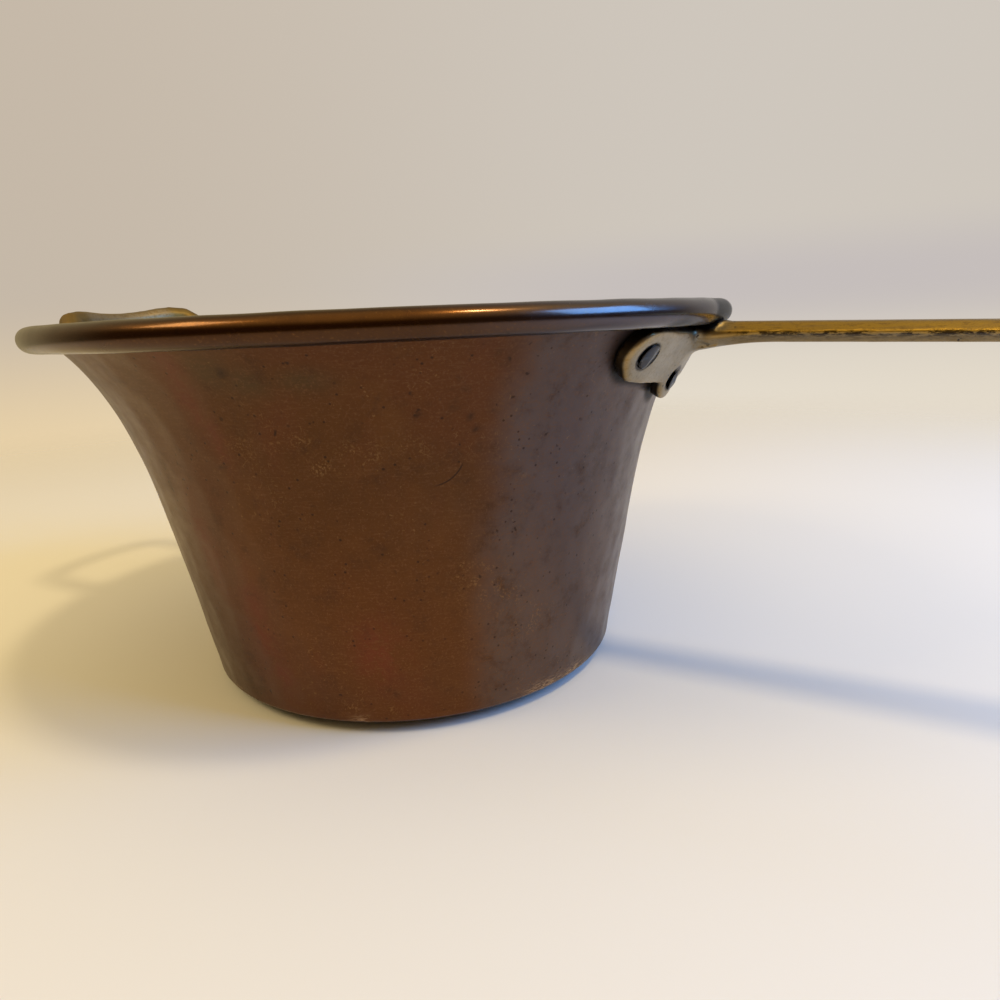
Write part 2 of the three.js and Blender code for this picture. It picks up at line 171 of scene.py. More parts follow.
# Camera, found from the rim, base and silhouettes in the photograph
VIEW_AZIMUTH = math.radians(35)
CAMERA_DISTANCE = 273.9 * MM  # from the axis of the pot
CAMERA_HEIGHT = 124 * MM
CAMERA_YAW = 0.1314
CAMERA_PITCH = -0.2512
CAMERA_ROLL = -0.0437
CAMERA_LENS = 25.18
SENSOR_WIDTH = 36
CAMERA_NEAR = 0.01

roll_centre = Vector((RIM_RADIUS - ROLL_RADIUS, RIM_HEIGHT - ROLL_RADIUS))
curl_radius = ROLL_RADIUS - SHEET
wall_top = roll_centre + curl_radius * Vector((-math.cos(LIP_ANGLE), math.sin(LIP_ANGLE)))
flare = wall_top.x - BASE_RADIUS - math.tan(WALL_LEAN) * wall_top.y
flare_power = (math.tan(LIP_ANGLE) - math.tan(WALL_LEAN)) * wall_top.y / flare
wall_bottom = BASE_SAG + BASE_CORNER * (1 - math.sin(WALL_LEAN))


def wall_radius(height):
    return BASE_RADIUS + math.tan(WALL_LEAN) * height + flare * (height / wall_top.y) ** flare_power


def wall_tilt(height):
    slope = flare * flare_power / wall_top.y * (height / wall_top.y) ** (flare_power - 1)
    return np.arctan(math.tan(WALL_LEAN) + slope)


def wall_frame(azimuth, height):
    """Frame on the outside of the wall: x along the rim, y up the wall and z straight out of it."""
    tilt = float(wall_tilt(height))
    along = Vector((0, 1, 0))
    upward = Vector((math.sin(tilt), 0, math.cos(tilt)))
    outward = Vector((math.cos(tilt), 0, -math.sin(tilt)))
    basis = Matrix((along, upward, outward)).transposed().to_4x4()
    place = Matrix.Translation((wall_radius(height), 0, height))
    return Matrix.Rotation(azimuth, 4, "Z") @ place @ basis


# Meshes


def smoothstep(low, high, value):
    share = np.clip((value - low) / (high - low), 0, 1)
    return share * share * (3 - 2 * share)


def lathe(section, angles, offset):
    """Vertices and faces of a section turned about Z. Its first and last point lie on the axis.
    offset[point, angle] moves the surface out along the section's normal."""
    tangent = np.gradient(section, axis=0)
    tangent /= np.linalg.norm(tangent, axis=1)[:, None]
    radius = section[:, :1] + tangent[:, 1:] * offset
    height = section[:, 1:] - tangent[:, :1] * offset
    rings = np.stack([radius * np.cos(angles), radius * np.sin(angles), height], -1)[1:-1]
    count, steps = rings.shape[:2]
    ends = np.array([[[0, 0, section[0, 1]]], [[0, 0, section[-1, 1]]]])
    vertices = np.concatenate([ends[0], rings.reshape(-1, 3), ends[1]])
    grid = 1 + np.arange(count * steps).reshape(count, steps)
    turned = np.roll(grid, -1, axis=1)
    quads = np.stack([grid[:-1], turned[:-1], turned[1:], grid[1:]], -1).reshape(-1, 4)
    first = [(0, b, a) for a, b in zip(grid[0], turned[0])]
    last = [(a, b, len(vertices) - 1) for a, b in zip(grid[-1], turned[-1])]
    return vertices, first + quads.tolist() + last


def add_piece(name, vertices, faces, nodes):
    """A smooth mesh piece on the pot's one body, in place of these solids."""
    mesh = bpy.data.meshes.new(name)
    mesh.from_pydata(vertices.tolist(), [], faces)
    return dress_piece(name, mesh, nodes)


def dress_piece(name, mesh, nodes):
    mesh.polygons.foreach_set("use_smooth", np.ones(len(mesh.polygons), bool))
    piece = bpy.data.objects.new(name, mesh)
    bpy.context.scene.collection.objects.link(piece)
    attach(piece, "root")
    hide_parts(*nodes)
    return piece


def set_attribute(piece, name, values):
    attribute = piece.data.attributes.new(name, "FLOAT", "POINT")
    attribute.data.foreach_set("value", np.asarray(values, np.float32))


def points_of(mesh):
    points = np.empty(len(mesh.vertices) * 3)
    mesh.vertices.foreach_get("co", points)
    return points.reshape(-1, 3)


def normals_of(mesh):
    normals = np.empty(len(mesh.vertices) * 3)
    mesh.vertices.foreach_get("normal", normals)
    return normals.reshape(-1, 3)


def distance_to(points, nodes, reach):
    """How far each point lies from these solids, up to reach."""
    found = np.full(len(points), reach)
    for node in nodes:
        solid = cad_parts[node]
        corners = [solid.matrix_world @ vertex.co for vertex in solid.data.vertices]
        tree = BVHTree.FromPolygons(corners, [tuple(face.vertices) for face in solid.data.polygons])
        low, high = (np.array(corner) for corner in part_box(node))
        near = ((points > low - reach) & (points < high + reach)).all(1)
        for index in np.flatnonzero(near):
            hit = tree.find_nearest(Vector(points[index]), reach)
            if hit[0] is not None:
                found[index] = min(found[index], hit[3])
    return found


# Bowl


def arc(centre, radius, start, end, count):
    angle = np.linspace(start, end, count)
    return np.stack([centre.x + radius * np.cos(angle), centre.y + radius * np.sin(angle)], -1)


def wall_line(offset, bottom, count):
    """Points up the wall's section, moved out along its normal and drawn together towards the flare."""
    height = bottom + (wall_top.y - bottom) * (1 - (1 - np.linspace(0, 1, count)) ** WALL_CROWDING)
    tilt = wall_tilt(height)
    return np.stack([wall_radius(height) + offset * np.cos(tilt), height - offset * np.sin(tilt)], -1)


def bowl_section():
    """Points and their zones, from the middle of the underside up the outside, round the roll and down."""
    corner = Vector((wall_radius(wall_bottom) - BASE_CORNER * math.cos(WALL_LEAN), BASE_SAG + BASE_CORNER))
    reach = corner - Vector((BASE_FLAT, 0))
    base_rise = math.atan2(reach.y, reach.x) - math.asin(BASE_CORNER / reach.length)
    down = base_rise - math.pi / 2
    roll_start = math.pi - LIP_ANGLE
    roll_end = -math.acos((CURL_GAP - curl_radius) / ROLL_RADIUS) - LIP_ANGLE
    fillet = INNER_CORNER + SHEET
    inner_bottom = BASE_SAG + fillet * (1 - math.sin(WALL_LEAN))
    inner_radius = wall_radius(inner_bottom) - fillet * math.cos(WALL_LEAN)
    inner_height = (inner_radius - BASE_FLAT) * math.tan(base_rise) + fillet / math.cos(base_rise)
    inner_centre = Vector((inner_radius, inner_height))

    def base_line(end, raised):
        radii = np.linspace(0, end, BASE_POINTS)[:-1]
        return np.stack([radii, np.maximum(radii - BASE_FLAT, 0) * math.tan(base_rise) + raised], -1)

    parts = [
        ("under", base_line(corner.x, 0)),
        ("corner", arc(corner, BASE_CORNER, down, -WALL_LEAN, CORNER_POINTS)[:-1]),
        ("outside", wall_line(0, wall_bottom, OUTSIDE_POINTS)[:-1]),
        ("curl", arc(roll_centre, curl_radius, roll_start, roll_end, CURL_POINTS)),
        ("bead", arc(roll_centre, ROLL_RADIUS, roll_end, roll_start, BEAD_POINTS)),
        ("inside", wall_line(-SHEET, inner_bottom, INSIDE_POINTS)[::-1][1:]),
        ("inside", arc(inner_centre, INNER_CORNER, -WALL_LEAN, down, INNER_CORNER_POINTS)[1:]),
        ("floor", base_line(inner_radius, SHEET)[::-1]),
    ]
    zones = [zone for zone, points in parts for _ in points]
    return np.concatenate([points for _, points in parts]), np.array(zones)


def ripple(angle, lowest, highest, seed):
    """A wave round the pot, from about -1 to 1, of these numbers of crests."""
    random = np.random.default_rng(seed)
    waves = [np.sin(n * angle + random.uniform(0, 2 * math.pi)) for n in range(lowest, highest + 1)]
    return np.sum(waves, axis=0) / math.sqrt(2 * len(waves))


def hammer_marks(across, up, columns, seed):
    """Depth of overlapping hammer marks, from 1 in the middle of a mark to about 0 on the ridges.
    across and up are counted in marks, and across closes on itself after columns."""
    random = np.random.default_rng(seed)
    rows = int(up.max()) + 4
    jitter = random.uniform(-0.3, 0.3, (rows, columns, 2))
    weak = random.uniform(0, 0.2, (rows, columns))
    up = up + 1
    total = np.zeros(np.broadcast(across, up).shape)
    for row_step in (-1, 0, 1):
        for column_step in (-2, -1, 0, 1):
            row = np.floor(up).astype(int) + row_step
            column = np.floor(across).astype(int) + column_step
            shift = jitter[row, column % columns]
            x = column + 0.5 + 0.5 * (row % 2) + shift[..., 0] - across
            y = row + 0.5 + shift[..., 1] - up
            total += np.exp(-MARK_SHARPNESS * (x * x + y * y + weak[row, column % columns]))
    return np.clip(1 + np.log(total) / MARK_SHARPNESS / MARK_REACH, 0, 1)


# Spots on the outside: azimuth in degrees, then height, reach across and reach upward in millimetres
WORN_SPOTS = [
    (-42, 49, 8, 8), (-37, 44, 6, 7), (-46, 55, 4, 4), (-69, 88, 5, 4), (-82, 94, 4, 4), (-75, 95, 3, 3),
    (-71, 96, 3, 3), (-54, 93, 3, 3), (-62, 92, 6, 4), (-30, 34, 8, 6), (-72, 10, 4, 3), (-64, 9, 3, 2),
]
NICKED_EDGES = [
    (-24, 5, 9, 2.5), (-13, 5, 7, 2.5), (-70, 5, 3, 1.5), (-110, 5, 5, 1.5), (60, 5, 8, 2), (150, 5, 9, 2),
]
RED_STREAKS = [
    (-91, 38, 5, 20), (-88, 18, 4, 9), (-87, 116, 5, 9), (-88, 106, 4, 9), (-86, 96, 3, 8),
    (-100, 60, 5, 20), (-64, 30, 8, 12), (140, 54, 10, 50), (60, 80, 8, 20),
]
GREY_SPOTS = [(-81, 115, 6, 5), (-76, 112, 7, 4), (-68, 112, 8, 3), (150, 95, 14, 14), (80, 100, 10, 12)]
DARK_SPOTS = [
    (-53, 102, 1.0, 1.0), (-44, 97, 1.1, 0.9), (-45, 100.5, 0.8, 1.0), (-79, 114.5, 1.6, 1.4),
    (-87, 88.5, 1.4, 0.5),
]

# A curved scratch: azimuth in degrees and height in millimetres of its arc's centre and of its own middle
SCRATCH_CENTRE = (-51.6, 91.2)
SCRATCH_MIDDLE = (-47.6, 83.6)
SCRATCH_RADIUS = 9.8 * MM


def on_wall(azimuth, height):
    turn = math.radians(azimuth)
    radius = wall_radius(height * MM)
    return Vector((radius * math.cos(turn), radius * math.sin(turn), height * MM))


def spotted(points, spots):
    """How far each point lies in one of these spots, from 0 to 1."""
    azimuth, height, across, upward = np.array(spots).T
    turn = np.degrees(np.arctan2(points[:, 1:2], points[:, :1])) - azimuth
    flat = np.radians((turn + 180) % 360 - 180) * np.hypot(points[:, :1], points[:, 1:2]) / MM
    rise = points[:, 2:] / MM - height
    return np.exp(-((flat / across) ** 2) - (rise / upward) ** 2).max(1)


def make_bowl():
    section, zone = bowl_section()
    angles = np.arange(RING_STEPS) * 2 * math.pi / RING_STEPS
    turn = angles / (2 * math.pi)
    radius = section[:, :1]
    height = section[:, 1:]
    marks_out = hammer_marks(turn * MARKS_AROUND, height / MARK_ROW, MARKS_AROUND, seed=5)
    marks_in = hammer_marks(turn * MARKS_AROUND, height / MARK_ROW, MARKS_AROUND, seed=6)
    wave = 0.5 + 0.5 * ripple(angles, *WALL_CRESTS, seed=7)
    bead_wave = 0.5 + 0.5 * ripple(angles, *BEAD_CRESTS, seed=8)
    floor_marks = hammer_marks(turn * FLOOR_MARKS_AROUND, radius / FLOOR_MARK_ROW, FLOOR_MARKS_AROUND, seed=9)
    fade = smoothstep(BASE_SAG, BASE_SAG + MARKS_LOW_FADE, height)
    fade *= smoothstep(wall_top.y, wall_top.y - MARKS_HIGH_FADE, height)
    edge_start, edge_end = FLOOR_MARKS_EDGE
    base_fade = smoothstep(0, FLOOR_MARK_ROW, radius)
    base_fade *= smoothstep(BASE_RADIUS - edge_start, BASE_RADIUS - edge_end, radius)
    on = {name: (zone == name)[:, None] for name in set(zone)}
    offset = np.zeros((len(section), RING_STEPS))
    offset -= on["outside"] * fade * (MARK_DEPTH * marks_out + WALL_WAVE * wave)
    offset -= on["inside"] * fade * INSIDE_SHARE * MARK_DEPTH * marks_in
    offset -= on["bead"] * BEAD_WAVE * bead_wave
    offset -= (on["under"] | on["floor"]) * base_fade * FLOOR_MARK_DEPTH * floor_marks
    vertices, faces = lathe(section, angles, offset)
    bowl = add_piece("copper_bowl", vertices, faces, ["bowl"])
    zones = np.concatenate([zone[:1], np.repeat(zone[1:-1], RING_STEPS), zone[-1:]])
    mark_bowl(bowl, vertices, faces, zones)
    return bowl


def mark_bowl(bowl, vertices, faces, zones):
    """Gives the roll its own material, and each point what the materials need to know about its place."""
    azimuth = np.degrees(np.arctan2(vertices[:, 1], vertices[:, 0]))
    rolled = np.isin(zones, ("bead", "curl"))
    inside = np.isin(zones, ("inside", "floor"))
    outside = np.isin(zones, ("outside", "corner", "under"))
    bowl.data.polygons.foreach_set("material_index", [int(rolled[list(face)].all()) for face in faces])
    set_attribute(bowl, "inside", inside)
    set_attribute(bowl, "under", zones == "under")
    set_attribute(bowl, "worn", outside * spotted(vertices, WORN_SPOTS))
    set_attribute(bowl, "nicked", outside * spotted(vertices, NICKED_EDGES))
    set_attribute(bowl, "red", outside * spotted(vertices, RED_STREAKS))
    set_attribute(bowl, "grey", outside * spotted(vertices, GREY_SPOTS))
    set_attribute(bowl, "dark", outside * spotted(vertices, DARK_SPOTS))
    # painted light: the lower front of the wall is made lighter where the light falls
    front = smoothstep(*PAINTED_LIGHT_TURN, np.cos(np.radians(azimuth - PAINTED_LIGHT_AZIMUTH)))
    set_attribute(bowl, "painted_front_light", outside * front * smoothstep(*PAINTED_LIGHT_HEIGHT, vertices[:, 2]))
    # painted reflection: the side of the pot towards the window gets a grey-violet tint for the window's blue
    # light
    window_side = smoothstep(*WINDOW_REFLECTION_NEAR_EDGE, azimuth) * smoothstep(*WINDOW_REFLECTION_FAR_EDGE, azimuth)
    set_attribute(bowl, "painted_window_reflection", (outside | rolled) * window_side)
    # painted shade: the lower half of the roll
    shaded_low_half = smoothstep(roll_centre.y + ROLL_SHADE, roll_centre.y - ROLL_SHADE, vertices[:, 2])
    set_attribute(bowl, "lower", rolled * shaded_low_half)
    # painted shade with some soiling: the wall and roll darken near the handles, standing in for the shadow
    # under the rim and beside the feet
    gap = distance_to(vertices, ["long_handle", "helper_handle"], BEAD_DIRT_AND_SHADE[0])
    soiled_and_shaded = np.where(rolled, smoothstep(*BEAD_DIRT_AND_SHADE, gap), smoothstep(*WALL_DIRT_AND_SHADE, gap))
    set_attribute(bowl, "grime_and_shade", soiled_and_shaded * ~inside)


# Cast handles


def blend_neck(points, normals, neighbours):
    """Fills the corners where the long handle's neck leaves its foot, as the moulder's fillets do."""
    near = smoothstep(*NECK_FILLED, np.linalg.norm((points - NECK_ROOT) * NECK_SHAPE, axis=1))
    near *= smoothstep(0.5, 0.1, normals[:, 2])
    for _ in range(NECK_BLEND):
        mean = np.stack([neighbours(points[:, axis]) for axis in range(3)], -1)
        step = np.maximum(((mean - points) * normals).sum(1), 0) * near
        points = points + normals * step[:, None]
    under = smoothstep(0.2, -0.4, normals[:, 2]) * smoothstep(*NECK_SIDES, np.abs(points[:, 1]))
    along = (points[:, 0] - NECK_FULLEST) / NECK_FULL_LENGTH
    points[:, 2] -= NECK_DROP * under * np.exp(-(along**2))
    return points


def round_foot(points, neighbours):
    """Wears the edges of the long handle's foot round."""
    height = np.clip(points[:, 2], wall_bottom, wall_top.y)
    off_wall = np.hypot(points[:, 0], points[:, 1]) - wall_radius(height)
    near = 0.5 * smoothstep(*ROUNDED_TO, off_wall) * smoothstep(*ROUNDED_FROM, off_wall)
    for _ in range(FOOT_ROUNDING):
        mean = np.stack([neighbours(points[:, axis]) for axis in range(3)], -1)
        points = points + (mean - points) * near[:, None]
    return points


def lift_foot(points):
    """Moves the long handle's foot up the wall to where the photograph has it, fading out along the neck."""
    radius = np.hypot(points[:, 0], points[:, 1])
    height = np.clip(points[:, 2], wall_bottom, wall_top.y)
    tilt = wall_tilt(height)
    off_wall = (radius - wall_radius(height)) * np.cos(tilt)
    share = smoothstep(*FOOT_MOVED, off_wall) * (points[:, 0] > 0)
    turn = np.arctan2(points[:, 1], points[:, 0])
    aside = FOOT_SPREAD * smoothstep(*FOOT_SIDES, np.abs(turn))
    aside += FOOT_EDGE_SPREAD * smoothstep(*FOOT_EDGES, np.abs(turn))
    aside += LOBE_SPREAD * smoothstep(*LOBE_SIDES, np.abs(turn)) * smoothstep(*LOBE_TOP, points[:, 2])
    turn = turn + share * aside / RIM_RADIUS * np.sign(turn)
    lifted = radius + share * FOOT_LIFT * np.sin(tilt)
    upward = points[:, 2] + share * FOOT_LIFT * np.cos(tilt)
    return np.stack([lifted * np.cos(turn), lifted * np.sin(turn), upward], -1)


def soften(name, node, voxel, rounds):
    """A mesh of the solid's own form, with the soft edges of a casting."""
    rough = bpy.data.objects.new(name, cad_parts[node].data.copy())
    bpy.context.scene.collection.objects.link(rough)
    remesh = rough.modifiers.new("remesh", "REMESH")
    remesh.mode = "VOXEL"
    remesh.voxel_size = voxel
    smooth = rough.modifiers.new("smooth", "SMOOTH")
    smooth.factor = 0.5
    smooth.iterations = rounds
    mesh = bpy.data.meshes.new_from_object(rough.evaluated_get(bpy.context.evaluated_depsgraph_get()))
    bpy.data.objects.remove(rough)
    mesh.name = name
    return mesh


def cast_piece(name, node, voxel, rounds, footed):
    """A cast handle, with what its material needs to know of edges, hollows, soiling, painted shade by the
    wall and hands.
    """
    mesh = soften(name, node, voxel, rounds)
    piece = dress_piece(name, mesh, [node])
    points = points_of(mesh)
    ends = np.empty(len(mesh.edges) * 2, int)
    mesh.edges.foreach_get("vertices", ends)
    a, b = ends.reshape(-1, 2).T
    degree = np.bincount(a, minlength=len(points)) + np.bincount(b, minlength=len(points))

    def neighbours(values):
        total = np.bincount(a, values[b], len(points)) + np.bincount(b, values[a], len(points))
        return total / degree

    unlifted = points
    if footed:
        points = round_foot(blend_neck(points, normals_of(mesh), neighbours), neighbours)
        points = lift_foot(points)
        mesh.vertices.foreach_set("co", points.ravel())
        mesh.update()
    normals = normals_of(mesh)
    mean = np.stack([neighbours(points[:, axis]) for axis in range(3)], -1)
    bend = ((points - mean) * normals).sum(1) / voxel
    for _ in range(BEND_ROUNDS):
        bend = 0.5 * bend + 0.5 * neighbours(bend)
    set_attribute(piece, "edge", np.clip(bend / FULL_BEND, 0, 1))
    set_attribute(piece, "hollow", np.clip(-bend / FULL_BEND, 0, 1))
    set_attribute(piece, "grime_and_shade", handle_grime_and_shade(unlifted))
    set_attribute(piece, "grip", smoothstep(*GRIP_HALF_WIDTH, np.abs(points[:, 1])) * (points[:, 0] < 0))
    set_attribute(piece, "below", smoothstep(0.15, -0.25, normals[:, 2]))
    ridge = BAR_RIDGE_HEIGHT - (points[:, 0] - RIM_RADIUS) * math.tan(BAR_DROOP)
    under_ridge = np.exp(-(((points[:, 2] - ridge) / BAR_RIDGE_REACH + 0.4) ** 2))
    set_attribute(piece, "seam", under_ridge * smoothstep(RIM_RADIUS, RIM_RADIUS + SEAM_START, points[:, 0]))
    return piece


def handle_grime_and_shade(points):
    """Soiling round the rivets, and painted shade with soiling along the wall that blackens the sides of the
    feet, at points where the solids have them.
    """
    rivets = [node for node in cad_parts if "rivet" in node]
    from_wall = distance_to(points, ["bowl"], DIRT_AND_SHADE_SEARCH)
    from_rivets = distance_to(points, rivets, DIRT_AND_SHADE_SEARCH)
    reach = HANDLE_DIRT_AND_SHADE + FOOT_DIRT_AND_SHADE * smoothstep(*FOOT_DIRT_AND_SHADE_SPAN, np.abs(points[:, 0]))
    by_wall = smoothstep(reach, reach - DIRT_AND_SHADE_FADE, from_wall)
    return np.maximum(by_wall, smoothstep(*RIVET_DIRT, from_rivets))


# Rivets


def make_rivet(node, place, head_radius, seed):
    """Hammered dome outside, shank through foot and wall, flattened head inside."""
    inner_seat = -SHEET - RIVET_INNER_SEAT
    inner_end = inner_seat - RIVET_INNER_HEAD
    seat = FOOT_SEAT + CLEARANCE
    dome_radius = (head_radius**2 + RIVET_DOME**2) / (2 * RIVET_DOME)
    dome_centre = Vector((0, seat + RIVET_DOME - dome_radius))
    edge_angle = math.asin((seat - dome_centre.y) / dome_radius)
    inner_edge = Vector((head_radius - RIVET_INNER_HEAD / 2, inner_seat - RIVET_INNER_HEAD / 2))
    dome = arc(dome_centre, dome_radius, edge_angle, math.pi / 2, 14)
    dome[-1, 0] = 0
    section = np.concatenate([
        [(0, inner_end), (head_radius / 3, inner_end), (head_radius / 1.6, inner_end)],
        arc(inner_edge, RIVET_INNER_HEAD / 2, -math.pi / 2, math.pi / 2, 8),
        [(RIVET_SHANK, inner_seat), (RIVET_SHANK, seat), (head_radius - 0.3 * MM, seat)],
        dome,
    ])
    angles = np.arange(RIVET_STEPS) * 2 * math.pi / RIVET_STEPS
    vertices, faces = lathe(section, angles, np.zeros((len(section), RIVET_STEPS)))
    random = np.random.default_rng(seed)
    head = vertices[:, 2] > seat + 0.05 * MM
    for _ in range(RIVET_BLOWS):
        lean = random.uniform(0, 2 * math.pi)
        steep = random.uniform(*BLOW_SLOPE)
        height = seat + RIVET_DOME * random.uniform(*BLOW_HEIGHT)
        toward = np.cos(lean) * vertices[:, 0] + np.sin(lean) * vertices[:, 1]
        plane = height - steep * (toward - BLOW_OFFSET)
        vertices[head, 2] = np.minimum(vertices[head, 2], np.maximum(plane[head], seat))
    vertices[head, 0] *= RIVET_OVAL
    placed = np.array([place @ Vector(point) for point in vertices])
    rivet = add_piece(node.replace("rivet", "rivet_head"), placed, faces, [node])
    set_attribute(rivet, "rim", smoothstep(0.6, 1.0, np.hypot(*vertices[:, :2].T) / head_radius))
    return rivet


def rivet_places():
    upper = math.asin(UPPER_RIVET_SPACING / 2 / wall_radius(UPPER_RIVET_HEIGHT)) + FOOT_SPREAD / RIM_RADIUS
    arm = math.asin(LOOP_WIDTH / 2 / wall_radius(LOOP_FOOT_HEIGHT))
    apart = math.asin(LOOP_RIVET_SPACING / 2 / wall_radius(LOOP_FOOT_HEIGHT))
    return {
        "long_handle_rivet_left": wall_frame(-upper, UPPER_RIVET_HEIGHT + FOOT_LIFT),
        "long_handle_rivet_right": wall_frame(upper, UPPER_RIVET_HEIGHT + FOOT_LIFT),
        "long_handle_rivet_lower": wall_frame(LOWER_RIVET_TURN, LOWER_RIVET_HEIGHT),
        "helper_rivet_left_outer": wall_frame(math.pi - arm - apart, LOOP_FOOT_HEIGHT),
        "helper_rivet_left_inner": wall_frame(math.pi - arm + apart, LOOP_FOOT_HEIGHT),
        "helper_rivet_right_inner": wall_frame(math.pi + arm - apart, LOOP_FOOT_HEIGHT),
        "helper_rivet_right_outer": wall_frame(math.pi + arm + apart, LOOP_FOOT_HEIGHT),
    }


# Materials


class Nodes:
    """Short forms for building a node tree."""

    def __init__(self, tree):
        self.tree = tree
        tree.nodes.clear()

    def add(self, kind, inputs, **settings):
        node = self.tree.nodes.new("ShaderNode" + kind)
        for name, value in settings.items():
            setattr(node, name, value)
        for socket, value in inputs.items():
            if isinstance(value, bpy.types.NodeSocket):
                self.tree.links.new(value, node.inputs[socket])
            else:
                node.inputs[socket].default_value = value
        return node

    def place(self, scale=(1, 1, 1)):
        coordinates = self.add("TexCoord", {}).outputs["Object"]
        return self.add("Mapping", {"Vector": coordinates, "Scale": scale}).outputs["Vector"]

    def attribute(self, name):
        return self.add("Attribute", {}, attribute_name=name).outputs["Fac"]

    def noise(self, vector, scale, detail=3.0, roughness=0.55):
        inputs = {"Vector": vector, "Scale": scale, "Detail": detail, "Roughness": roughness}
        return self.add("TexNoise", inputs).outputs["Fac"]

    def cells(self, vector, scale):
        return self.add("TexVoronoi", {"Vector": vector, "Scale": scale}).outputs["Distance"]

    def edges(self, vector, scale):
        inputs = {"Vector": vector, "Scale": scale}
        return self.add("TexVoronoi", inputs, feature="DISTANCE_TO_EDGE").outputs["Distance"]

    def warped(self, vector, reach, scale):
        """The place moved about by up to half of reach."""
        noise = self.add("TexNoise", {"Vector": vector, "Scale": scale}).outputs["Color"]
        inputs = {0: noise, 1: (reach, reach, reach), 2: vector}
        return self.add("VectorMath", inputs, operation="MULTIPLY_ADD").outputs["Vector"]

    def ramp(self, value, low, high, to_low=0.0, to_high=1.0):
        inputs = {"Value": value, "From Min": low, "From Max": high, "To Min": to_low, "To Max": to_high}
        return self.add("MapRange", inputs, interpolation_type="SMOOTHSTEP").outputs["Result"]

    def math(self, operation, a, b):
        return self.add("Math", {0: a, 1: b}, operation=operation).outputs["Value"]

    def measure(self, operation, a, b):
        """A number from two vectors."""
        return self.add("VectorMath", {0: a, 1: b}, operation=operation).outputs["Value"]

    def multiply(self, a, b):
        return self.add("VectorMath", {0: a, 1: b}, operation="MULTIPLY").outputs["Vector"]

    def length(self, vector):
        return self.add("VectorMath", {0: vector}, operation="LENGTH").outputs["Value"]

    def mix(self, share, a, b):
        node = self.add("Mix", {"Factor": share}, data_type="RGBA")
        for socket, value in ((6, a), (7, b)):
            if isinstance(value, bpy.types.NodeSocket):
                self.tree.links.new(value, node.inputs[socket])
            else:
                node.inputs[socket].default_value = (*value, 1)
        return node.outputs[2]

    def bump(self, height, distance, strength):
        inputs = {"Height": height, "Distance": distance, "Strength": strength}
        return self.add("Bump", inputs).outputs["Normal"]

    def finish(self, colour, roughness, normal, metallic, film):
        inputs = {"Base Color": colour, "Roughness": roughness, "Normal": normal, "Metallic": metallic}
        shader = self.add("BsdfPrincipled", {**inputs, **film}).outputs["BSDF"]
        self.add("OutputMaterial", {"Surface": shader})


def new_material(name):
    material = bpy.data.materials.new(name)
    material.use_nodes = True
    return material, Nodes(material.node_tree)


